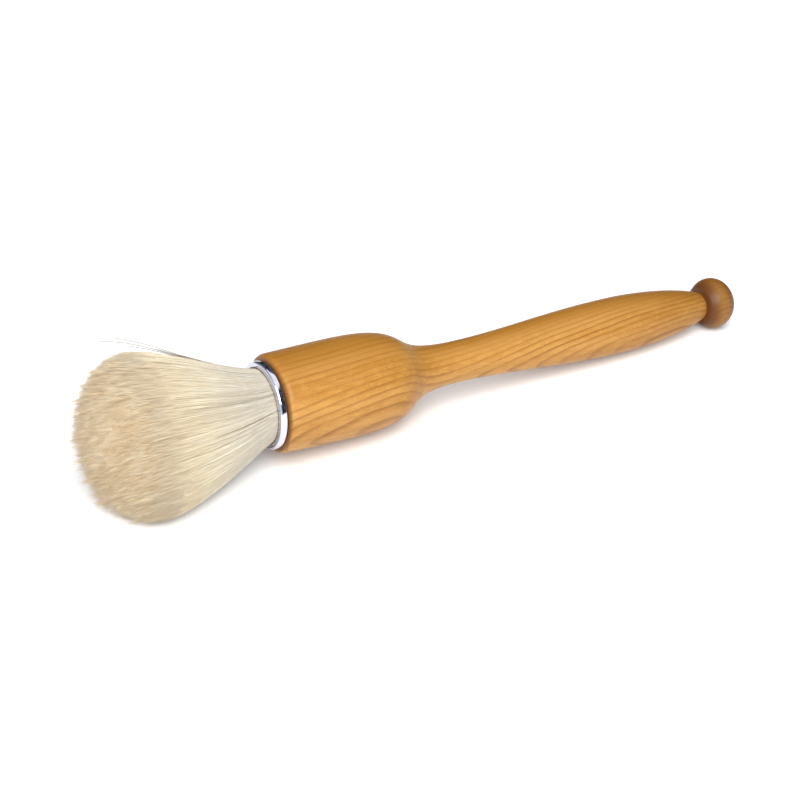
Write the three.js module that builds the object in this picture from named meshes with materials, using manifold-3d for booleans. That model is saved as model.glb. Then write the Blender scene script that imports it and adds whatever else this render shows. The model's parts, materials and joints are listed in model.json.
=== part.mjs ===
// A long-handled shaving brush lying on a table: a turned cherry handle with a ball at its end, a
// chrome-plated ferrule with a rolled lip, and a knot of pale natural hair that fans out of it.
// Millimetres, +Z up, +X towards the ball. The origin is on the table, under the middle of the brush.

import * as THREE from 'three';
import Module from 'manifold-3d';
import { mergeVertices } from 'three/addons/utils/BufferGeometryUtils.js';

const wasm = await Module();
wasm.setup();

// Driving dimensions. "at" is a distance along the brush from the front face of the wood: positive
// towards the ball, negative towards the tips of the hair.
const KNOT_RADIUS = 12.1; // the packed hair inside the ferrule
const GAP = 0.3; // clearance between pieces that touch or are glued on the real brush
const HEAD = { radius: 17.3, at: 27 };
const NECK = { radius: 7.25, at: 72 };
const GRIP = { radius: 10.3, at: 140 };
const GRIP_END = { radius: 5.35, at: 177.6 };
const GROOVE = { radius: 4.6, at: 178.3 }; // the V cut between the grip and the ball
const BALL = { radius: 9.4, halfLength: 7.9, at: 184.3 };
const BALL_FRONT_AT = 178.9; // where the ball's front meets the V cut
const END_FLAT_RADIUS = 2.5; // the sanded flat where the handle was parted off
const RIM_ROUNDING = 2.2;
const RIM_RADIUS = 16.85;

const WALL = 0.55; // the ferrule's drawn tube
const LIP = { radius: 15.0, front: -2.9, outerRounding: 1.6, innerRounding: 0.7, backRounding: 0.5 };
const FERRULE_END = 15.5;
const FERRULE_BORE = KNOT_RADIUS + 0.35;
const FERRULE_TUBE = FERRULE_BORE + WALL;
const SOCKET = { radius: FERRULE_TUBE + GAP, depth: 18 };

const FLEX_AT = -4; // the hair bends about this point, just outside the lip
const FLEX_RADIUS = 12.4; // the ball-shaped end of the fixed roots, centred on that point
const FLEX_CLEARANCE = 0.35;
const FAN = { radius: 28.7, at: -46, domeLength: 20.5 }; // the hair's widest place and its domed end
const FAN_BACK = { radius: 16.7, at: -13 }; // where the part that swings begins
const PRESSED_HEIGHT = 24; // of the brush's axis over the table, at the hair's widest place

const THREAD = { diameter: 0.8, pitch: 1.1, turns: 3.5, from: 4.1, coreRadius: 11.0 };
const ROOT_END = 9.5;
const PLUG = { from: ROOT_END + GAP, to: 15.2 };
const ADHESIVE = { from: FERRULE_END + GAP, to: SOCKET.depth - GAP };

const AROUND = 40; // facets round every turned piece

const FINISH = {
  cherry: { color: 0xcf9350, roughness: 0.5, metalness: 0 },
  chrome: { color: 0xd9dbe3, roughness: 0.08, metalness: 1 },
  resin: { color: 0x8a6a35, roughness: 0.35, metalness: 0 },
  thread: { color: 0xd8d0bc, roughness: 0.9, metalness: 0 },
  adhesive: { color: 0xe6e0cf, roughness: 0.6, metalness: 0 },
  hair: { color: 0xe2cfa8, roughness: 0.85, metalness: 0 },
};

function named(name, geometry, finish) {
  const mesh = new THREE.Mesh(geometry, new THREE.MeshStandardMaterial(finish));
  mesh.name = name;
  return mesh;
}

// Outlines are drawn with x as the radius and y as the distance along the brush.

function point(radius, at) {
  return new THREE.Vector2(radius, at);
}

function bend(from, leave, arrive, to, steps) {
  return new THREE.CubicBezierCurve(from, leave, arrive, to).getPoints(steps);
}

function arc(centre, radius, length, fromDegrees, toDegrees, steps) {
  const from = THREE.MathUtils.degToRad(fromDegrees);
  const to = THREE.MathUtils.degToRad(toDegrees);
  const curve = new THREE.EllipseCurve(centre.x, centre.y, radius, length, from, to, to < from);
  return curve.getPoints(steps);
}

function turned(outline) {
  const sameSpot = 1e-6;
  const points = outline.filter((p, i) => i === 0 || p.distanceTo(outline[i - 1]) > sameSpot);
  return new THREE.LatheGeometry(points, AROUND);
}

function handleGeometry() {
  const ballFrontAngle = -THREE.MathUtils.radToDeg(Math.asin((BALL.at - BALL_FRONT_AT) / BALL.halfLength));
  const ballEndAngle = THREE.MathUtils.radToDeg(Math.acos(END_FLAT_RADIUS / BALL.radius));
  const ball = arc(point(0, BALL.at), BALL.radius, BALL.halfLength, ballFrontAngle, ballEndAngle, 12);
  const endAt = ball[ball.length - 1].y;
  const rim = point(RIM_RADIUS - RIM_ROUNDING, RIM_ROUNDING);
  return turned([
    point(0, SOCKET.depth),
    point(SOCKET.radius, SOCKET.depth),
    point(SOCKET.radius, 0),
    ...arc(rim, RIM_ROUNDING, RIM_ROUNDING, -90, 0, 4),
    ...bend(point(RIM_RADIUS, RIM_ROUNDING), point(17.05, 9), point(HEAD.radius, HEAD.at - 8),
      point(HEAD.radius, HEAD.at), 3),
    ...bend(point(HEAD.radius, HEAD.at), point(HEAD.radius, HEAD.at + 32),
      point(NECK.radius, NECK.at - 29), point(NECK.radius, NECK.at), 14),
    ...bend(point(NECK.radius, NECK.at), point(NECK.radius, NECK.at + 23),
      point(GRIP.radius, GRIP.at - 28), point(GRIP.radius, GRIP.at), 8),
    ...bend(point(GRIP.radius, GRIP.at), point(GRIP.radius, GRIP.at + 9),
      point(9.25, GRIP_END.at - 11.7), point(GRIP_END.radius, GRIP_END.at), 8),
    point(GROOVE.radius, GROOVE.at),
    ...ball,
    point(0, endAt),
  ]);
}

function ferruleGeometry() {
  const innerEdge = point(FERRULE_BORE + LIP.innerRounding, LIP.front + LIP.innerRounding);
  const outerEdge = point(LIP.radius - LIP.outerRounding, LIP.front + LIP.outerRounding);
  const backEdge = point(LIP.radius - LIP.backRounding, -GAP - LIP.backRounding);
  return turned([
    point(FERRULE_BORE, FERRULE_END),
    ...arc(innerEdge, LIP.innerRounding, LIP.innerRounding, 180, 270, 3),
    ...arc(outerEdge, LIP.outerRounding, LIP.outerRounding, -90, 0, 5),
    ...arc(backEdge, LIP.backRounding, LIP.backRounding, 0, 90, 2),
    point(FERRULE_TUBE, -GAP),
    point(FERRULE_TUBE, FERRULE_END),
    point(FERRULE_BORE, FERRULE_END),
  ]);
}

function disc(radius, from, to) {
  return turned([point(0, from), point(radius, from), point(radius, to), point(0, to)]);
}

// The roots are set in the plug, bound with thread, and end in a ball that the moving hair turns on.
function hairRootGeometry() {
  const grooveFrom = THREAD.from - THREAD.diameter;
  const grooveTo = THREAD.from + THREAD.pitch * THREAD.turns + THREAD.diameter;
  return turned([
    ...arc(point(0, FLEX_AT), FLEX_RADIUS, FLEX_RADIUS, -90, 0, 10),
    point(KNOT_RADIUS, FLEX_AT + 2),
    point(KNOT_RADIUS, grooveFrom - GAP),
    point(THREAD.coreRadius, grooveFrom),
    point(THREAD.coreRadius, grooveTo),
    point(KNOT_RADIUS, grooveTo + GAP),
    point(KNOT_RADIUS, ROOT_END),
    point(0, ROOT_END),
  ]);
}

class Winding extends THREE.Curve {
  getPoint(share, target = new THREE.Vector3()) {
    const angle = share * THREAD.turns * Math.PI * 2;
    const radius = THREAD.coreRadius + GAP + THREAD.diameter / 2;
    const at = THREAD.from + share * THREAD.turns * THREAD.pitch;
    return target.set(radius * Math.cos(angle), at, radius * Math.sin(angle));
  }
}

function bindingGeometry() {
  const stepsPerTurn = 20;
  const sides = 6;
  const section = new THREE.Shape();
  section.setFromPoints(Array.from({ length: sides }, (_, i) => {
    const angle = (i / sides) * Math.PI * 2;
    return point(Math.cos(angle), Math.sin(angle)).multiplyScalar(THREAD.diameter / 2);
  }));
  const steps = stepsPerTurn * THREAD.turns;
  return new THREE.ExtrudeGeometry(section, { steps, extrudePath: new Winding() });
}

// The part of the hair that swings: the fan, hollowed where it turns on the roots.
function fanGeometry() {
  const hollow = FLEX_RADIUS + FLEX_CLEARANCE;
  const backAngle = THREE.MathUtils.radToDeg(Math.atan2(FAN_BACK.at - FLEX_AT, FAN_BACK.radius));
  return turned([
    ...arc(point(0, FAN.at), FAN.radius, FAN.domeLength, -90, 0, 10),
    ...bend(point(FAN.radius, FAN.at), point(FAN.radius, FAN.at + 5), point(22.8, -26),
      point(FAN_BACK.radius, FAN_BACK.at), 7),
    ...arc(point(0, FLEX_AT), hollow, hollow, backAngle, -90, 6),
  ]);
}

function solid(geometry) {
  const bare = geometry.clone();
  bare.deleteAttribute('normal');
  bare.deleteAttribute('uv');
  const merged = mergeVertices(bare, 1e-4);
  const corners = Array.from(merged.index.array);
  const triangles = [];
  for (let i = 0; i < corners.length; i += 3) {
    const [a, b, c] = corners.slice(i, i + 3);
    if (a !== b && b !== c && c !== a) triangles.push(a, b, c);
  }
  const vertProperties = new Float32Array(merged.attributes.position.array);
  return new wasm.Manifold(new wasm.Mesh({ numProp: 3, vertProperties, triVerts: new Uint32Array(triangles) }));
}

function geometryOf(manifold) {
  const mesh = manifold.getMesh();
  const geometry = new THREE.BufferGeometry();
  geometry.setAttribute('position', new THREE.BufferAttribute(mesh.vertProperties, 3));
  geometry.setIndex(new THREE.BufferAttribute(mesh.triVerts, 1));
  geometry.computeVertexNormals();
  return geometry;
}

// Everything below the table, as a block in the brush's own coordinates.
function tableBlock(brush) {
  const size = 400;
  const block = new THREE.BoxGeometry(size, size, size);
  block.translate(0, 0, -size / 2);
  brush.updateWorldMatrix(true, false);
  block.applyMatrix4(brush.matrixWorld.clone().invert());
  return block;
}

// The lathe's axis is +Y. "lay" turns it to +X, and "tilt" lowers the ball onto the table.
const tilt = new THREE.Group();
tilt.rotation.y = Math.asin((PRESSED_HEIGHT - BALL.radius) / (BALL.at - FAN.at));
const lay = new THREE.Group();
lay.rotation.z = -Math.PI / 2;
tilt.add(lay);

const brush = new THREE.Group();
brush.add(tilt);

lay.add(named('handle', handleGeometry(), FINISH.cherry));
lay.add(named('ferrule', ferruleGeometry(), FINISH.chrome));
lay.add(named('socket_adhesive', disc(FERRULE_TUBE, ADHESIVE.from, ADHESIVE.to), FINISH.adhesive));
lay.add(named('knot_plug', disc(KNOT_RADIUS, PLUG.from, PLUG.to), FINISH.resin));
lay.add(named('knot_binding', bindingGeometry(), FINISH.thread));
lay.add(named('hair_root', hairRootGeometry(), FINISH.hair));

// The ball stands on the table, and the table flattens the underside of the fan.
tilt.position.z = -new THREE.Box3().setFromObject(brush, true).min.z;
const pressed = solid(fanGeometry()).subtract(solid(tableBlock(lay)));
lay.add(named('hair_tuft', geometryOf(pressed), FINISH.hair));

const extent = new THREE.Box3().setFromObject(brush, true);
const middle = extent.getCenter(new THREE.Vector3());
tilt.position.x -= middle.x;
tilt.position.y -= middle.y;

export default brush;
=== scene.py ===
"""The looks of a long-handled shaving brush: turned cherry, a chrome-plated ferrule and a fan of hair.

Every length is in metres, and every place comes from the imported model. A place on the brush is given by its
station, the distance along the brush's own axis from the front face of the wood: positive towards the ball,
negative towards the tips of the hair.
"""

import json
import math

import bpy
import numpy as np
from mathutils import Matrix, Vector


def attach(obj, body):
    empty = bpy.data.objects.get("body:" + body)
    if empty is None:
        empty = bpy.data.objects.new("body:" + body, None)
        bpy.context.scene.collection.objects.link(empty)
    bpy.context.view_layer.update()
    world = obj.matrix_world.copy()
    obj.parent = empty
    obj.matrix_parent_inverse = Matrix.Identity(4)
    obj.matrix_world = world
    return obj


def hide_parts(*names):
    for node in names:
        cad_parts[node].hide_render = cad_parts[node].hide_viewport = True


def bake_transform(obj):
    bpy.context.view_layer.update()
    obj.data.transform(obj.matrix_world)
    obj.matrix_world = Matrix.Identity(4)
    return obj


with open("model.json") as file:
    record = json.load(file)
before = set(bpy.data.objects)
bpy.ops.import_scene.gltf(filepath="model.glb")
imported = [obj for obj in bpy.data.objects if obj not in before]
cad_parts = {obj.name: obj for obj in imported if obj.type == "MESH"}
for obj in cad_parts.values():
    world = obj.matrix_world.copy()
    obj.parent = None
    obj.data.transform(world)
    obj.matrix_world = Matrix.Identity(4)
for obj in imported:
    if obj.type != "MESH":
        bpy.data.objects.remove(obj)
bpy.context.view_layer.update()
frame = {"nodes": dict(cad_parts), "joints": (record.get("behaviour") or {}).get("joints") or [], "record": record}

MM = 0.001
HANDLE_BODY = "handle_assembly"

FACETS = 160  # round a turned surface
FINE_STEPS = 4  # between two stations of the CAD outline
CORNER = math.radians(40)  # a turn sharper than this stays a corner
SAME_PLACE = 0.03 * MM  # closer points of an outline are one point
ON_AXIS = 0.001 * MM  # a radius smaller than this is a point on the axis

MANTLE_PIECES, MANTLE_HAIRS, MANTLE_RINGS = 5, 3800, 10  # hairs in each piece, and rings along each hair
DOME_PIECES, DOME_HAIRS, DOME_RINGS = 4, 7000, 6
MANTLE_SHARES = 0.86, 1.0  # of the fan's radius, between which the hairs lie
DOME_SHARES = 0.0, 0.93
DOME_LENGTH = 18 * MM  # of the end of a hair that a dome piece shows
HAIR_SIDES = 3
HAIR_WIDTH = 0.18 * MM
STRAY_WIDTH = 0.25 * MM
TIP_LENGTH = 1.6 * MM  # of the slightly greyer end of a hair
LOCKS = 2000
ROOT_STATION = 1.0 * MM  # the hairs start just inside the ferrule's mouth
SAG = 1.9 * MM  # how far the lying hair hangs below the brush's axis
SAG_LENGTH = 23 * MM  # outside the mouth, over which it comes to hang that low
FLOOR_CLEARANCE = 0.15 * MM
INNER_FLARE = 0.22  # how the inner hairs go on spreading past the fan's widest place
SHORTER = 1.3 * MM  # than the fan's outline, which the longest hairs reach

CAMERA_AZIMUTH = math.radians(-29.9)
CAMERA_ELEVATION = math.radians(31.3)
CAMERA_DISTANCE = 0.65
CAMERA_LENS = 88.6
AIM = Vector((-0.0246, -0.0210, 0.0223))

rng = np.random.default_rng(7)


# ---- The brush's own axis, from the record and the CAD nodes ----

ball_end = next(m for m in frame["record"]["mounts"] if m["name"] == "ball_end")
hinge = next(j for j in frame["joints"] if j["name"] == "hair_flex")
AXIS = Vector(ball_end["axis"]).normalized()
SIDE = Vector((0, 1, 0))
RISE = AXIS.cross(SIDE)


def node_points(name):
    """A CAD node's vertices as (distance along the axis from the hinge, radius)."""
    vertices = np.array([v.co for v in frame["nodes"][name].data.vertices], float)
    offset = vertices - np.array(hinge["pos_m"])
    along = offset @ np.array(AXIS)
    radius = np.linalg.norm(offset - np.outer(along, np.array(AXIS)), axis=1)
    return np.column_stack([along, radius])


HINGE_STATION = -node_points("handle")[:, 0].min()
ORIGIN = Vector(hinge["pos_m"]) - AXIS * HINGE_STATION


def stations(name):
    """The different (station, radius) pairs of a turned CAD node, in order along the brush."""
    points = node_points(name) + np.array([HINGE_STATION, 0])
    points = np.unique(points.round(5), axis=0)
    kept = [points[0]]
    for point in points[1:]:
        if np.abs(point - kept[-1]).max() > SAME_PLACE:
            kept.append(point)
    return np.array(kept)


def place(local):
    """The world places of points given as (station, sideways, up) on the brush."""
    return np.asarray(local) @ np.array([AXIS, SIDE, RISE]) + np.array(ORIGIN)


# ---- Meshes ----


def smooth_outline(points):
    """More points on a smooth line through an outline, which keeps its corners."""
    steps = np.diff(points, axis=0)
    heading = np.unwrap(np.arctan2(steps[:, 1], steps[:, 0]))
    corner = np.r_[True, np.abs(np.diff(heading)) > CORNER, True]
    length = np.linalg.norm(steps, axis=1)
    along = np.r_[0, np.cumsum(length)]
    fine = []
    for i, step in enumerate(steps):
        start = step / length[i]
        end = start
        if not corner[i]:
            start = (points[i + 1] - points[i - 1]) / (along[i + 1] - along[i - 1])
        if not corner[i + 1]:
            end = (points[i + 2] - points[i]) / (along[i + 2] - along[i])
        for t in np.arange(FINE_STEPS) / FINE_STEPS:
            from_start = (2 * t**3 - 3 * t**2 + 1) * points[i] + (t**3 - 2 * t**2 + t) * length[i] * start
            to_end = (3 * t**2 - 2 * t**3) * points[i + 1] + (t**3 - t**2) * length[i] * end
            fine.append(from_start + to_end)
    fine.append(points[-1])
    return np.array(fine)


def new_piece(name, vertices, faces, material):
    """A smooth-shaded mesh object in the scene."""
    mesh = bpy.data.meshes.new(name)
    mesh.from_pydata(vertices, [], faces)
    mesh.validate()
    mesh.shade_smooth()
    mesh.materials.append(material)
    piece = bpy.data.objects.new(name, mesh)
    bpy.context.scene.collection.objects.link(piece)
    return piece


def store(piece, name, values, kind="FLOAT"):
    """Keep a number or a vector for each vertex, which the piece's material reads."""
    attribute = piece.data.attributes.new(name, kind, "POINT")
    field = "value" if kind == "FLOAT" else "vector"
    attribute.data.foreach_set(field, np.asarray(values, np.float32).ravel())


def revolve(name, outline, material, closed=False, pressed=None):
    """A turned piece. An outline of (station, radius) starts and ends on the axis, or closes on itself.
    pressed is the height at which a soft piece's underside rests on the table."""
    angle = np.arange(FACETS) / FACETS * 2 * np.pi
    local, rings = [], []
    for station, radius in outline:
        if radius < ON_AXIS:
            rings.append([len(local)] * FACETS)
            local.append((station, 0, 0))
            continue
        rings.append(list(range(len(local), len(local) + FACETS)))
        local.extend(zip(np.full(FACETS, station), radius * np.sin(angle), radius * np.cos(angle)))
    if closed:
        rings.append(rings[0])
    faces = []
    for low, high in zip(rings, rings[1:]):
        for i in range(FACETS):
            j = (i + 1) % FACETS
            corners = [low[i], high[i], high[j], low[j]]
            faces.append([c for k, c in enumerate(corners) if c != corners[k - 1]])
    local = np.array(local)
    world = place(local) if pressed is None else lie(local, pressed)
    piece = new_piece(name, world.tolist(), faces, material)
    store(piece, "brush", local, "FLOAT_VECTOR")
    return piece


# ---- Shader nodes ----


def node(tree, kind, inputs=None, **settings):
    """A new shader node. An input is linked if it is given a socket, and set if it is given a value."""
    made = tree.nodes.new("ShaderNode" + kind)
    for key, value in settings.items():
        setattr(made, key, value)
    for key, value in (inputs or {}).items():
        if isinstance(value, bpy.types.NodeSocket):
            tree.links.new(value, made.inputs[key])
        else:
            made.inputs[key].default_value = value
    return made


def new_material(name, **surface):
    """A material with one Principled shader, whose constant sockets are set by name."""
    material = bpy.data.materials.new(name)
    material.use_nodes = True
    shader = material.node_tree.nodes["Principled BSDF"]
    for key, value in surface.items():
        shader.inputs[key.replace("_", " ")].default_value = value
    return material, material.node_tree, shader


def stored(tree, name, output="Fac"):
    """What store() kept on the piece under this name."""
    return node(tree, "Attribute", attribute_name=name).outputs[output]


def part(tree, vector, letter):
    """One of the X, Y and Z of a vector."""
    return node(tree, "SeparateXYZ", {"Vector": vector}).outputs[letter]


def maths(tree, operation, a, b=0.0):
    return node(tree, "Math", {0: a, 1: b}, operation=operation).outputs[0]


def spread(tree, value, low, high, to_low=0.0, to_high=1.0):
    """value from low..high, as to_low..to_high with soft ends."""
    inputs = {"Value": value, "From Min": low, "From Max": high, "To Min": to_low, "To Max": to_high}
    return node(tree, "MapRange", inputs, interpolation_type="SMOOTHSTEP").outputs["Result"]


def blended(tree, share, base, other):
    """The base colour with a share of the other one. A Mix node's colour sockets have only numbers."""
    share_socket, base_socket, other_socket, result = 0, 6, 7, 2
    inputs = {share_socket: share, base_socket: base, other_socket: other}
    return node(tree, "Mix", inputs, data_type="RGBA").outputs[result]


def alignment(tree, normal, direction):
    """How far a surface faces a direction: 1 towards it, 0 across it."""
    return node(tree, "VectorMath", {0: normal, 1: direction}, operation="DOT_PRODUCT").outputs["Value"]


def stretched_noise(tree, vector, scale, detail=2.0, roughness=0.5):
    """Noise whose grains are stretched by giving it a scale on each axis, in grains per metre."""
    mapped = node(tree, "Mapping", {"Vector": vector, "Scale": scale}).outputs["Vector"]
    inputs = {"Vector": mapped, "Scale": 1.0, "Detail": detail, "Roughness": roughness}
    return node(tree, "TexNoise", inputs).outputs["Fac"]


def add_bump(tree, shader, height, strength, distance):
    bump = node(tree, "Bump", {"Height": height, "Strength": strength, "Distance": distance})
    tree.links.new(bump.outputs["Normal"], shader.inputs["Normal"])


# ---- Cherry ----


def growth_lines(tree, turned):
    """How much of the dark late wood shows, in layers that lie across the Z of the turned place."""
    spacing = 2.3 * MM
    slope = 0.085  # how the layers climb along the brush
    narrowing = 2.2  # how they close up along the brush, per metre
    wander = 4.5 * MM
    drift = stretched_noise(tree, turned, (16, 70, 70))
    along = part(tree, turned, "X")
    widening = maths(tree, "ADD", 1.0, maths(tree, "MULTIPLY", along, narrowing))
    height = maths(tree, "SUBTRACT", part(tree, turned, "Z"), maths(tree, "MULTIPLY", along, slope))
    height = maths(tree, "MULTIPLY", height, widening)
    height = maths(tree, "ADD", height, maths(tree, "MULTIPLY", drift, wander))
    layer = maths(tree, "DIVIDE", height, spacing)

    within = maths(tree, "FRACT", layer)
    rise = maths(tree, "POWER", spread(tree, within, 0.3, 0.9), 2.2)
    fall = spread(tree, within, 0.9, 1.0, 1.0, 0.0)
    number = {"W": maths(tree, "FLOOR", layer)}
    own_strength = node(tree, "TexWhiteNoise", number, noise_dimensions="1D").outputs["Value"]
    fading = stretched_noise(tree, turned, (40, 130, 130))
    line = maths(tree, "MULTIPLY", rise, fall)
    line = maths(tree, "MULTIPLY", line, spread(tree, own_strength, 0.0, 1.0, 0.38, 0.78))
    return maths(tree, "MULTIPLY", line, spread(tree, fading, 0.25, 0.6, 0.35, 1.0))


def fresh_cherry(tree, turned, fibres, flecks):
    """The wood's colour before age and handling."""
    deep, pale = (0.36, 0.158, 0.026, 1), (0.48, 0.252, 0.068, 1)
    glowing = (0.57, 0.30, 0.075, 1)
    late_wood = (0.185, 0.065, 0.008, 1)
    pores = (0.20, 0.075, 0.012, 1)
    silvery = (0.70, 0.43, 0.16, 1)
    broad = stretched_noise(tree, turned, (11, 90, 90), 3.0)
    mottle = stretched_noise(tree, turned, (260, 700, 700), 3.0)
    colour = blended(tree, spread(tree, broad, 0.3, 0.7), deep, pale)
    colour = blended(tree, spread(tree, mottle, 0.4, 0.75, 0.0, 0.35), colour, glowing)
    colour = blended(tree, growth_lines(tree, turned), colour, late_wood)
    colour = blended(tree, spread(tree, fibres, 0.5, 0.75, 0.0, 0.4), colour, pores)
    return blended(tree, spread(tree, flecks, 0.58, 0.74, 0.0, 0.35), colour, silvery)


def aged(tree, colour, along, groove):
    """Cherry darkened by oil on its end grain, by painted shade on the side that faces up and back and along the
    grip towards the ball, and by handling on the ball, most on its end grain, where it also paints the grip's
    shade on the ball's front.
    """
    oiled_end = (0.115, 0.038, 0.009, 1)
    # painted shade: the side that faces up and back is darker, as less light falls there
    upper_side_shade = (0.30, 0.118, 0.006, 1)
    # painted shade along the grip towards the ball, and the ball's wood darkened by handling
    handled_and_shaded = (0.095, 0.030, 0.005, 1)
    shaded_side = 0, 0.5, 0.86
    edge = 0.5 * MM  # either side of the groove between grip and ball
    # painted shade: the grip grows darker towards the ball, where less light falls
    grip_shade_from, grip_shade_to = groove - 58.3 * MM, groove - 6.3 * MM
    normal = node(tree, "TexCoord").outputs["Normal"]
    end_on = maths(tree, "ABSOLUTE", alignment(tree, normal, tuple(AXIS)))
    colour = blended(tree, spread(tree, end_on, 0.5, 0.98, 0.0, 0.8), colour, oiled_end)
    # how far a surface faces the side where shade is painted
    lit = alignment(tree, normal, shaded_side)
    colour = blended(tree, spread(tree, lit, 0.0, 0.9, 0.0, 0.75), colour, upper_side_shade)
    on_ball = spread(tree, along, groove - edge, groove + edge)
    # the ball's end grain darkened by handling, which also paints the grip's shade on the ball's front
    ball_wear_and_shade = maths(tree, "MULTIPLY", on_ball, spread(tree, end_on, 0.1, 0.75, 0.37, 0.85))
    worn_and_shaded = maths(tree, "ADD", ball_wear_and_shade, spread(tree, along, grip_shade_from, grip_shade_to, 0.0, 0.15))
    return blended(tree, worn_and_shaded, colour, handled_and_shaded)


def cherry(groove):
    """Oiled cherry: growth rings as layers cut by the turning, fine fibres and flecks. groove is the station
    of the cut between the grip and the ball."""
    layer_turn = math.radians(52)  # of the growth layers about the brush's axis
    material, tree, shader = new_material("cherry", Specular_IOR_Level=0.22)
    where = stored(tree, "brush", "Vector")
    turned = node(tree, "Mapping", {"Vector": where, "Rotation": (layer_turn, 0, 0)}).outputs["Vector"]
    fibres = stretched_noise(tree, turned, (110, 2600, 2600), 4.0, 0.65)
    flecks = stretched_noise(tree, turned, (900, 5500, 5500))
    colour = aged(tree, fresh_cherry(tree, turned, fibres, flecks), part(tree, where, "X"), groove)
    tree.links.new(colour, shader.inputs["Base Color"])
    tree.links.new(spread(tree, fibres, 0.3, 0.7, 0.34, 0.46), shader.inputs["Roughness"])
    relief = maths(tree, "ADD", maths(tree, "MULTIPLY", fibres, 0.6), maths(tree, "MULTIPLY", flecks, 0.4))
    add_bump(tree, shader, relief, 0.25, 0.12 * MM)
    return material


# ---- The other materials ----


def chrome(bore):
    """Bright plating with a faint orange-peel and hairline wear, and a painted dark line round the bore: the shade
    and the reflected hair at the lip's inner edge.
    """
    shade, shine = (0.60, 0.605, 0.71, 1), (0.68, 0.685, 0.77, 1)
    # painted shade and reflection: the dark line at the lip's inner edge round the bore
    bore_edge_shade = (0.085, 0.062, 0.012, 1)
    bore_shade_from, bore_shade_to = bore + 0.6 * MM, bore + 1.0 * MM
    material, tree, shader = new_material("chrome", Metallic=1.0)
    where = stored(tree, "brush", "Vector")
    cloud = stretched_noise(tree, where, (260, 260, 260), 3.0)
    scuffs = stretched_noise(tree, where, (5200, 240, 240))
    colour = blended(tree, spread(tree, cloud, 0.35, 0.65), shade, shine)
    cross_section = {"Y": part(tree, where, "Y"), "Z": part(tree, where, "Z")}
    from_axis = node(tree, "CombineXYZ", cross_section).outputs["Vector"]
    radius = node(tree, "VectorMath", {0: from_axis}, operation="LENGTH").outputs["Value"]
    # the painted dark line round the bore
    colour = blended(tree, spread(tree, radius, bore_shade_from, bore_shade_to, 0.9, 0.0), colour, bore_edge_shade)
    tree.links.new(colour, shader.inputs["Base Color"])
    polish = spread(tree, cloud, 0.3, 0.7, 0.04, 0.09)
    wear = spread(tree, scuffs, 0.6, 0.8, 0.0, 0.08)
    tree.links.new(maths(tree, "ADD", polish, wear), shader.inputs["Roughness"])
    add_bump(tree, shader, cloud, 0.12, 0.1 * MM)
    return material


def hair():
    """Pale hair: grey cream at the root, lighter halfway and golden towards the tip, with short lighter and
    darker stretches. Only the stray hairs and the parting hairs, a painted shadow between two locks, have a tone
    near 0, which makes them dark."""
    root, body, golden = (0.58, 0.535, 0.455, 1), (0.885, 0.80, 0.605, 1), (0.70, 0.53, 0.31, 1)
    ochre, bleached = (0.78, 0.54, 0.25, 1), (0.98, 0.94, 0.84, 1)
    dark = (0.16, 0.11, 0.06, 1)
    grey = (0.74, 0.71, 0.72, 1)
    material, tree, shader = new_material("hair", Roughness=0.55, Specular_IOR_Level=0.3)
    where = stored(tree, "brush", "Vector")
    reach = stored(tree, "reach")
    tone = stored(tree, "tone")
    own_place = node(tree, "CombineXYZ", {"X": part(tree, where, "X"), "Y": tone}).outputs["Vector"]
    stretches = stretched_noise(tree, own_place, (190, 900, 1))
    patches = stretched_noise(tree, where, (45, 200, 200), 3.0)
    colour = blended(tree, spread(tree, reach, 0.05, 0.6), root, body)
    towards_tip = spread(tree, reach, 0.35, 1.0)
    share = maths(tree, "MULTIPLY", towards_tip, spread(tree, patches, 0.3, 0.65, 0.5, 1.0))
    colour = blended(tree, share, colour, golden)
    colour = blended(tree, spread(tree, stretches, 0.5, 0.75, 0.0, 0.5), colour, ochre)
    colour = blended(tree, spread(tree, stretches, 0.25, 0.5, 0.6, 0.0), colour, bleached)
    # a tone near 0 is dark: the stray hairs, and the painted shadow of the parting
    colour = blended(tree, spread(tree, tone, 0.0, 0.03, 1.0, 0.0), colour, dark)
    colour = blended(tree, maths(tree, "MULTIPLY", stored(tree, "tip"), 0.15), colour, grey)
    tree.links.new(colour, shader.inputs["Base Color"])
    return material


def hair_mass():
    """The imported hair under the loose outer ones: fine streaks from the roots to the tips."""
    root, end = (0.66, 0.60, 0.49, 1), (0.79, 0.63, 0.39, 1)
    ochre, bleached = (0.66, 0.47, 0.24, 1), (0.95, 0.90, 0.78, 1)
    material, tree, shader = new_material("hair_mass", Roughness=0.7, Sheen_Weight=0.1)
    streak_place = stored(tree, "streaks", "Vector")
    fine = stretched_noise(tree, streak_place, (6, 90, 90), 4.0, 0.6)
    broad = stretched_noise(tree, streak_place, (3, 16, 16))
    colour = blended(tree, spread(tree, stored(tree, "reach"), 0.05, 0.8), root, end)
    colour = blended(tree, spread(tree, fine, 0.45, 0.7, 0.0, 0.4), colour, ochre)
    colour = blended(tree, spread(tree, broad, 0.5, 0.8, 0.0, 0.4), colour, bleached)
    tree.links.new(colour, shader.inputs["Base Color"])
    add_bump(tree, shader, fine, 0.5, 0.3 * MM)
    return material


def cloudy(name, dark, light, grain=900, roughness=0.7, relief=0.3):
    """A plain material with a little cloudiness and grain."""
    material, tree, shader = new_material(name, Roughness=roughness)
    where = node(tree, "TexCoord").outputs["Object"]
    cloud = stretched_noise(tree, where, (grain, grain, grain), 4.0)
    tree.links.new(blended(tree, spread(tree, cloud, 0.3, 0.7), dark, light), shader.inputs["Base Color"])
    add_bump(tree, shader, cloud, relief, 0.2 * MM)
    return material


# ---- Handle and ferrule ----


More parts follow.
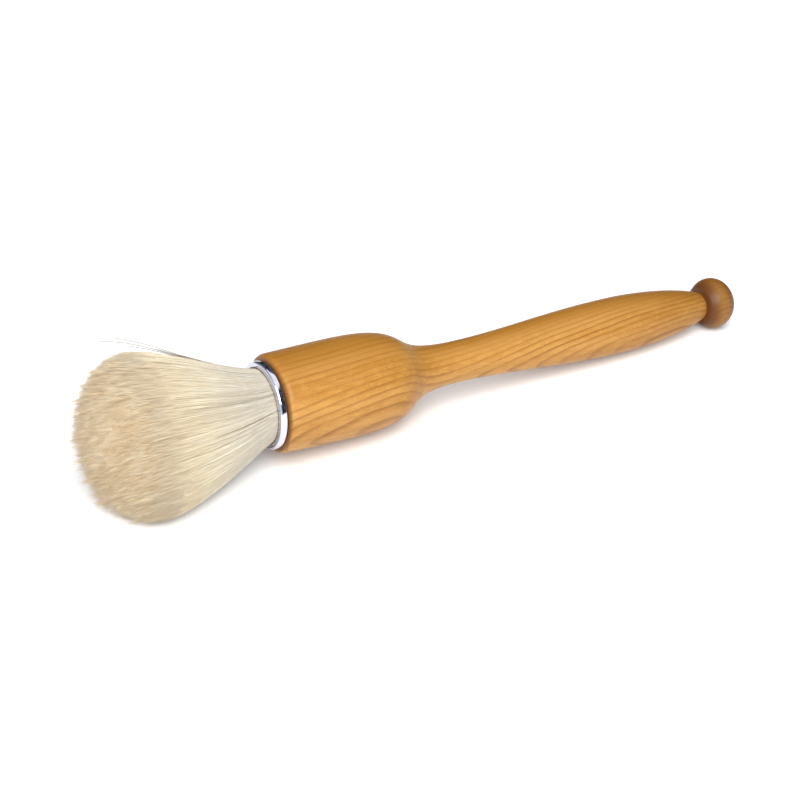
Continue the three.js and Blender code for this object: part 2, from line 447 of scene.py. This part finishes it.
def socket_size(points):
    """(depth, radius) of the socket: its floor is the first station that has a point on the axis."""
    near_axis, same_station = 0.1 * MM, 0.05 * MM
    depth = points[points[:, 1] < near_axis][0][0]
    radius = points[np.abs(points[:, 0] - depth) < same_station][:, 1].max()
    return depth, radius


def groove_station(outside):
    """Where the wood is cut in before the ball: the last place that is thinner than both its neighbours."""
    radius = outside[:, 1]
    dips = (radius[1:-1] < radius[:-2]) & (radius[1:-1] < radius[2:])
    return float(outside[1:-1][dips][-1, 0])


def make_handle():
    points = stations("handle")
    depth, radius = socket_size(points)
    margin = 0.5 * MM
    outside = points[(points[:, 0] > depth + margin) | (points[:, 1] > radius + margin)]
    outside = outside[np.lexsort((-outside[:, 1], outside[:, 0]))]
    outline = np.vstack([(depth, 0), (depth, radius), (0, radius), outside])
    piece = revolve("turned_handle", smooth_outline(outline), cherry(groove_station(outside)))
    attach(piece, HANDLE_BODY)
    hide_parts("handle")


def bow(centre, radius, start, end, steps=8):
    """Points on a circle in the outline's plane, from one direction in degrees to another."""
    angle = np.radians(np.linspace(start, end, steps))
    return np.column_stack([centre[0] + radius * np.sin(angle), centre[1] + radius * np.cos(angle)])


def make_ferrule():
    """The tube with its rolled lip, which gets rounder edges than in the CAD."""
    outer, inner, heel = 1.05 * MM, 0.6 * MM, 0.4 * MM  # the radii of the lip's edges
    behind_lip = 1 * MM
    least_step = 0.2 * MM  # from the tube out to the lip
    points = stations("ferrule")
    front, end = points[:, 0].min(), points[:, 0].max()
    bore, lip = points[:, 1].min(), points[:, 1].max()
    tube = points[points[:, 0] > behind_lip][:, 1].max()
    back = points[points[:, 1] > tube + least_step][:, 0].max()
    outline = np.vstack([
        (end, bore),
        bow((front + inner, bore + inner), inner, -180, -90),
        bow((front + outer, lip - outer), outer, -90, 0, 12),
        bow((back - heel, lip - heel), heel, 0, 90),
        (back, tube),
        (end, tube),
    ])
    piece = revolve("ferrule_ring", outline, chrome(bore), closed=True)
    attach(piece, HANDLE_BODY)
    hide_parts("ferrule")


def dress_hidden_nodes():
    """Better materials for the CAD nodes inside the head, whose shapes are right."""
    glue = cloudy("adhesive", (0.70, 0.64, 0.50, 1), (0.84, 0.79, 0.66, 1), grain=700, roughness=0.55)
    resin = cloudy("resin", (0.16, 0.085, 0.025, 1), (0.30, 0.18, 0.06, 1), 400, 0.3, relief=0.1)
    thread = cloudy("thread", (0.62, 0.56, 0.44, 1), (0.80, 0.75, 0.63, 1), 3000, 0.85, relief=0.6)
    for name, look in (("socket_adhesive", glue), ("knot_plug", resin), ("knot_binding", thread)):
        for slot in frame["nodes"][name].material_slots:
            slot.material = look


# ---- The fan of hair ----


class Fan:
    """The shape of the free hair, from the CAD nodes: its width at a station, and where its tips end."""

    def __init__(self):
        same_radius = 0.01 * MM
        bore_clearance = 0.15 * MM
        tuft = stations("hair_tuft")
        ferrule = stations("ferrule")
        self.widest_radius = tuft[:, 1].max()
        self.widest = tuft[tuft[:, 1] > self.widest_radius - same_radius][0, 0]
        self.tip = tuft[:, 0].min()
        self.mouth = ferrule[:, 0].min()
        self.root_radius = ferrule[:, 1].min() - bore_clearance
        self.edge = smooth_outline(self.side_line(tuft))
        self.dome_at = np.linspace(self.tip, self.widest, 200)
        dome_depth = (self.dome_at - self.widest) / (self.tip - self.widest)
        self.dome_share = self.widest_radius * np.sqrt(1 - dome_depth**2) / self.radius_at(self.dome_at)

    def side_line(self, tuft):
        """(station, radius) points along the side of the fan, from beyond the tips to inside the ferrule."""
        deep_inside = 20 * MM
        straight_until = self.mouth + 1.6 * MM
        just_outside = self.mouth - 0.3 * MM
        first_spread = 0.35 * MM
        spacing = 3 * MM  # at least, between the points taken from the CAD
        beyond_tip = self.tip - 5 * MM
        line = [(deep_inside, self.root_radius), (straight_until, self.root_radius),
                (just_outside, self.root_radius + first_spread)]
        for station, radius in tuft[::-1]:
            if self.widest < station < line[-1][0] - spacing and radius > line[-1][1]:
                line.append((station, radius))
        line.append((self.widest, self.widest_radius))
        line.append((beyond_tip, self.widest_radius + INNER_FLARE * (self.widest - beyond_tip)))
        return np.array(line[::-1])

    def radius_at(self, station):
        """The fan's radius at a station, as the hairs inside the domed end go on spreading."""
        return np.interp(station, self.edge[:, 0], self.edge[:, 1])

    def end(self, share):
        """The station where a hair ends, from its share of the fan's radius."""
        return np.interp(share, self.dome_share, self.dome_at)

    def reach(self, station):
        """0 at the ferrule's mouth and 1 at the furthest tip."""
        return np.clip((self.mouth - station) / (self.mouth - self.tip), 0, 1)


fan = Fan()


def press(points, rest):
    """Hair that would go below the table lies on it instead, and spreads sideways."""
    softness = 1.3 * MM
    sideways = 0.3
    middle = 8 * MM  # hair nearer the middle than this spreads less
    height = points[..., 2]
    lifted = rest + softness * np.logaddexp(0, (height - rest) / softness)
    pressed = points.copy()
    pressed[..., 2] = lifted
    pressed[..., 1] += sideways * (lifted - height) * np.tanh(points[..., 1] / middle)
    return pressed


def lie(local, rest):
    """The world places of hair that sags and rests on the table. rest is each point's lowest height."""
    world = place(local.reshape(-1, 3)).reshape(local.shape)
    out = np.clip((fan.mouth - local[..., 0]) / SAG_LENGTH, 0, 1)
    world[..., 2] -= SAG * (1 - (1 - out) ** 2)
    return press(world, rest)


def bend_with_joint(piece):
    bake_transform(piece)


# ---- Single hairs ----


def tube_points(path, width):
    """The vertices of a thin tube round each hair's path, ring by ring, ending with its pointed tip."""
    along = np.gradient(path, axis=1)
    along /= np.linalg.norm(along, axis=2, keepdims=True)
    out = np.cross(along, rng.normal(size=(len(path), 1, 3)))
    out /= np.linalg.norm(out, axis=2, keepdims=True)
    across = np.cross(along, out)
    turn = np.arange(HAIR_SIDES) / HAIR_SIDES * 2 * np.pi
    ring = np.cos(turn)[:, None] * out[:, :-1, None] + np.sin(turn)[:, None] * across[:, :-1, None]
    body = path[:, :-1, None] + ring * width[:, :-1, None, None] / 2
    return np.concatenate([body.reshape(len(path), -1, 3), path[:, -1:]], axis=1)


def tube_faces(count, rings):
    """The faces of every tube, and which of them are smooth: all but the flat root end of each hair."""
    per_hair = (rings - 1) * HAIR_SIDES + 1
    first = (np.arange(count) * per_hair)[:, None, None]
    ring = np.arange(rings - 2)[:, None] * HAIR_SIDES
    i = np.arange(HAIR_SIDES)
    j = (i + 1) % HAIR_SIDES
    upper = ring + HAIR_SIDES
    wall = np.stack([ring + i, ring + j, upper + j, upper + i], axis=-1).reshape(-1, 4)
    last = (rings - 2) * HAIR_SIDES
    point = np.stack([last + i, last + j, np.full(HAIR_SIDES, last + HAIR_SIDES)], axis=-1)
    root = i[::-1]
    quads = (first + wall).reshape(-1, 4).tolist()
    triangles = (first + np.vstack([point, root])).reshape(-1, 3).tolist()
    smooth = np.ones(len(quads) + len(triangles), bool)
    smooth[len(quads) + HAIR_SIDES::HAIR_SIDES + 1] = False
    return quads + triangles, smooth


def hair_piece(name, hairs, material):
    """Many hairs as one mesh of thin three-sided tubes that close in a point."""
    count, rings = hairs["width"].shape
    vertices = tube_points(lie(hairs["local"], hairs["rest"][:, None]), hairs["width"])
    faces, smooth = tube_faces(count, rings)
    piece = new_piece(name, vertices.reshape(-1, 3).tolist(), faces, material)
    piece.data.polygons.foreach_set("use_smooth", smooth)
    ring_of = np.r_[np.repeat(np.arange(rings - 1), HAIR_SIDES), rings - 1]
    local = hairs["local"][:, ring_of]
    store(piece, "brush", local.reshape(-1, 3), "FLOAT_VECTOR")
    store(piece, "reach", fan.reach(local[..., 0]).ravel())
    store(piece, "tone", np.repeat(hairs["tone"], len(ring_of)))
    store(piece, "tip", hairs["tip"][:, ring_of].ravel())
    bend_with_joint(piece)


def flat_place(share, angle):
    """A place in the cross-section, as a share of the fan's radius sideways and up."""
    return share[..., None] * np.stack([np.sin(angle), np.cos(angle)], -1)


def in_fan(station, flat):
    """(station, sideways, up) places from stations and places in the cross-section."""
    return np.concatenate([station[..., None], flat * fan.radius_at(station)[..., None]], axis=2)


def make_locks():
    """Where hairs gather. A spike is a lock that stands out of the fan in a point."""
    spike_share = 0.1
    uneven = 0.45 * MM
    longest_spike, shortest_spike = -2.6, -0.6  # in millimetres, away from the ferrule
    spike_pull, usual_pull = 0.65, 0.25
    spike = rng.random(LOCKS) < spike_share
    return {
        "place": flat_place(np.sqrt(rng.random(LOCKS)), rng.uniform(0, 2 * np.pi, LOCKS)),
        "tone": rng.random(LOCKS),
        "longer": rng.normal(0, uneven, LOCKS)
        + spike * rng.uniform(longest_spike, shortest_spike, LOCKS) * MM,
        "pull": np.where(spike, spike_pull, usual_pull),
    }


locks = make_locks()


def nearest_lock(flat):
    return np.argmin(((flat[:, None] - locks["place"][None]) ** 2).sum(-1), axis=1)


def loosened(flat, lock, reach):
    """Each hair's places in the cross-section: drawn to its lock, and waving and leaning towards its tip."""
    waving, leaning = 0.003, 0.007
    weakest_pull, late_pull = 0.15, 1.6  # late_pull keeps the hairs apart near the root
    overhang = 0.03  # how far a tip may stand outside the fan
    count = len(flat)
    own_pull = locks["pull"][lock][:, None, None] * rng.uniform(weakest_pull, 1, (count, 1, 1))
    pull = own_pull * reach**late_pull
    path = flat[:, None] + (locks["place"][lock] - flat)[:, None] * pull
    phase = rng.uniform(0, 2 * np.pi, (count, 1, 1))
    wave = np.sin(reach * rng.uniform(3, 9, (count, 1, 1)) + phase) * reach
    lean = rng.normal(0, 1, (count, 1, 2)) * reach**2
    path = path + waving * rng.normal(0, 1, (count, 1, 2)) * wave + leaning * lean
    radius = np.linalg.norm(path, axis=2, keepdims=True)
    return path * np.minimum(radius, 1 + overhang * reach) / np.maximum(radius, 1e-6)


def grow(count, shares, rings, length=None):
    """Hairs between two shares of the fan's radius, gathered a little into locks. Without a length, a hair
    starts in the ferrule and may end early. With one, it starts about that far from its tip."""
    uneven = 0.7 * MM
    extra, extra_share = 2.2 * MM, 0.04  # a few hairs are longer
    early, early_share = 18 * MM, 0.5
    closer_at_root = 1.25  # rings lie closer together there
    highest_rest = 1.4 * MM
    thinnest, thickest = 0.6, 1.2  # times the usual width
    lowest_tone = 0.05  # the stray hairs and the painted shadow of the parting are below it
    shared_tone = 0.4  # how far a hair has its lock's tone
    low, high = shares
    share = np.sqrt(rng.uniform(low**2, high**2, count))
    flat = flat_place(share, rng.uniform(0, 2 * np.pi, count))
    lock = nearest_lock(flat)
    end = fan.end(share) + SHORTER + locks["longer"][lock] + rng.normal(0, uneven, count)
    end -= (rng.random(count) < extra_share) * rng.uniform(0, extra, count)
    if length is None:
        end += (rng.random(count) < early_share) * rng.uniform(0, early, count)
        start = np.full(count, ROOT_STATION)
        t = np.linspace(0, 1, rings) ** closer_at_root
    else:
        start = end + length * rng.uniform(0.6, 1.5, count)
        t = np.linspace(0, 1, rings)
    station = start[:, None] + (end - start)[:, None] * t
    path = loosened(flat, lock, fan.reach(station)[..., None])
    taper = np.interp(t, [0, 0.3, 0.7, 1], [0.7, 1, 0.9, 0.35])
    tone = shared_tone * locks["tone"][lock]
    return {
        "local": in_fan(station, path),
        "width": HAIR_WIDTH * rng.uniform(thinnest, thickest, (count, 1)) * taper,
        "tone": lowest_tone + (1 - lowest_tone) * (tone + (1 - shared_tone) * rng.random(count)),
        "tip": np.clip(1 - (station - end[:, None]) / TIP_LENGTH, 0, 1),
        "rest": rng.uniform(FLOOR_CLEARANCE, highest_rest, count),
    }


def make_strays_and_parting_shadow(material):
    """A few long dark hairs that stand off the top of the fan, and some dark hairs along a parting near the front,
    which paint the shadow in the gap between two locks.
    """
    stray_share = np.array([1.10, 1.14, 1.10, 1.07, 1.05, 1.06])  # of the fan's radius
    stray_angle = np.radians([33, 30, 36, 22, 48, 140])
    stray_end = np.array([-56, -51, -44, -37, -34, -47]) * MM
    # the parting hairs are dark: a painted shadow of the gap between two locks
    parting_angle = np.radians([-69, -69.8])
    parting_end = np.array([-31, -22]) * MM
    stray_tone, parting_shadow_tone = 0.006, 0.01
    rings = 14
    swaying = 0.02
    share = np.r_[stray_share, np.ones(len(parting_end))]
    flat = flat_place(np.ones(len(share)), np.r_[stray_angle, parting_angle])
    end = np.r_[stray_end, parting_end]
    count = len(end)
    t = np.linspace(0, 1, rings)
    station = ROOT_STATION + (end[:, None] - ROOT_STATION) * t
    reach = fan.reach(station)[..., None]
    away = 1 + (share[:, None, None] - 1) * np.minimum(1, reach * 1.5) ** 2
    sway = swaying * rng.normal(0, 1, (count, 1, 2)) * np.sin(reach * 7) * reach
    hairs = {
        "local": in_fan(station, flat[:, None] * away + sway),
        "width": STRAY_WIDTH * np.interp(t, [0, 0.9, 1], [1, 0.9, 0.6]) * np.ones((count, 1)),
        "tone": np.r_[np.full(len(stray_end), stray_tone), np.full(len(parting_end), parting_shadow_tone)],
        "tip": np.zeros((count, rings)),
        "rest": np.full(count, FLOOR_CLEARANCE),
    }
    hair_piece("strays_and_parting_shadow", hairs, material)


# ---- Packed hair ----


def make_hair_mass():
    """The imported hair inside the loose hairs: closed, and a little smaller than the fan."""
    mouth_share, widest_share = 0.96, 0.92  # of the fan's radius
    front = -0.8 * MM
    back = 3.5 * MM  # from the fan's tips
    rest = 1.2 * MM  # the height of its underside on the table
    edge_at = np.linspace(fan.mouth, fan.widest + back, 20)
    inset = np.linspace(mouth_share, widest_share, len(edge_at))
    edge = np.column_stack([edge_at, fan.radius_at(edge_at) * inset])
    turn = np.linspace(0, np.pi / 2, 16)[1:]
    dome_at = edge_at[-1] + (fan.tip + back - edge_at[-1]) * np.sin(turn)
    dome = np.column_stack([dome_at, edge[-1, 1] * np.cos(turn)])
    mouth = [(front, 0), (front, mouth_share * fan.root_radius)]
    outline = np.vstack([mouth, edge, dome])[::-1]
    outline[0, 1] = 0
    piece = revolve("hair_mass", outline, hair_mass(), pressed=rest)
    local = np.empty(len(piece.data.vertices) * 3, np.float32)
    piece.data.attributes["brush"].data.foreach_get("vector", local)
    local = local.reshape(-1, 3)
    share = local[:, 1:] / fan.radius_at(local[:, 0])[:, None]
    store(piece, "streaks", np.column_stack([local[:, 0] / fan.widest_radius, share]), "FLOAT_VECTOR")
    store(piece, "reach", fan.reach(local[:, 0]))
    bend_with_joint(piece)
    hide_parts("hair_tuft")


def make_bound_root():
    """The end of the knot that the ferrule holds, with the waist that the thread is wound on."""
    front = -0.5 * MM
    off_axis = 1 * MM
    points = stations("hair_root")
    inside = points[(points[:, 0] > 0) & (points[:, 1] > off_axis)]
    outline = np.vstack([(front, 0), (front, inside[0, 1]), inside, (inside[-1, 0], 0)])
    look = cloudy("bound_root", (0.74, 0.62, 0.42, 1), (0.88, 0.78, 0.58, 1))
    piece = revolve("bound_root", outline, look)
    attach(piece, HANDLE_BODY)
    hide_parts("hair_root")


def make_hair():
    material = hair()
    for i in range(MANTLE_PIECES):
        hair_piece(f"mantle_hair_{i + 1}", grow(MANTLE_HAIRS, MANTLE_SHARES, MANTLE_RINGS), material)
    for i in range(DOME_PIECES):
        hair_piece(f"dome_hair_{i + 1}", grow(DOME_HAIRS, DOME_SHARES, DOME_RINGS, DOME_LENGTH), material)
    make_strays_and_parting_shadow(material)
    make_hair_mass()
    make_bound_root()


# ---- Stage, light and camera ----


def make_stage():
    """A large white table that glows faintly, to stay white under the lamp."""
    half_size = 6
    glow = {"Emission_Color": (1, 1, 1, 1), "Emission_Strength": 0.08}
    material, tree, shader = new_material("floor", Roughness=0.9, **glow)
    where = node(tree, "TexCoord").outputs["Object"]
    cloud = stretched_noise(tree, where, (8, 8, 8))
    tint = blended(tree, cloud, (0.90, 0.90, 0.905, 1), (0.93, 0.93, 0.93, 1))
    tree.links.new(tint, shader.inputs["Base Color"])
    corners = [(-half_size, -half_size, 0), (half_size, -half_size, 0),
               (half_size, half_size, 0), (-half_size, half_size, 0)]
    new_piece("floor", corners, [(0, 1, 2, 3)], material)


def make_surroundings():
    """A white studio, brighter on the left and duller at the back, open to a dim room on the right."""
    dark_corner, window_light = (0.035, 0.04, 0.02, 1), (0.12, 0.17, 0.26, 1)
    ceiling = (1.7, 1.7, 1.7, 1)
    brightness = 0.75
    front, back, left = (0.97, 0.98, 1.0, 1), (0.33, 0.33, 0.34, 1), (1.25, 1.25, 1.32, 1)
    world = bpy.data.worlds.new("studio")
    world.use_nodes = True
    tree = world.node_tree
    direction = node(tree, "TexCoord").outputs["Generated"]
    x, y, z = (part(tree, direction, letter) for letter in "XYZ")
    clutter = stretched_noise(tree, direction, (9, 9, 9), 3.0)
    room = blended(tree, spread(tree, clutter, 0.48, 0.56), dark_corner, window_light)
    room = blended(tree, spread(tree, z, 0.78, 0.84), room, ceiling)
    white = blended(tree, spread(tree, y, -0.3, 0.6), front, back)
    white = blended(tree, spread(tree, x, -0.6, -0.35, 1.0, 0.0), white, left)
    background = tree.nodes["Background"]
    colour = blended(tree, spread(tree, x, -0.1, -0.03), white, room)
    tree.links.new(colour, background.inputs["Color"])
    background.inputs["Strength"].default_value = brightness
    bpy.context.scene.world = world


def make_lamp(name, at, size, power):
    """A square lamp that points at the brush."""
    lamp = bpy.data.lights.new(name, "AREA")
    lamp.size = size
    lamp.energy = power
    holder = bpy.data.objects.new(name, lamp)
    holder.location = at
    holder.rotation_mode = "QUATERNION"
    holder.rotation_quaternion = (AIM - Vector(at)).to_track_quat("-Z", "Y")
    bpy.context.scene.collection.objects.link(holder)


def make_camera():
    level = math.cos(CAMERA_ELEVATION)
    back = Vector((math.sin(CAMERA_AZIMUTH) * level, -math.cos(CAMERA_AZIMUTH) * level,
                   math.sin(CAMERA_ELEVATION)))
    lens = bpy.data.cameras.new("camera")
    lens.lens = CAMERA_LENS
    lens.clip_start, lens.clip_end = 0.01, 20
    camera = bpy.data.objects.new("camera", lens)
    camera.location = AIM + back * CAMERA_DISTANCE
    camera.rotation_mode = "QUATERNION"
    camera.rotation_quaternion = back.to_track_quat("Z", "Y")
    bpy.context.scene.collection.objects.link(camera)
    bpy.context.scene.camera = camera


make_handle()
make_ferrule()
dress_hidden_nodes()
make_hair()
make_stage()
make_surroundings()
make_lamp("key", at=(-0.3, -0.75, 0.9), size=0.9, power=20)
make_camera()
bpy.context.scene.view_settings.view_transform = "Standard"
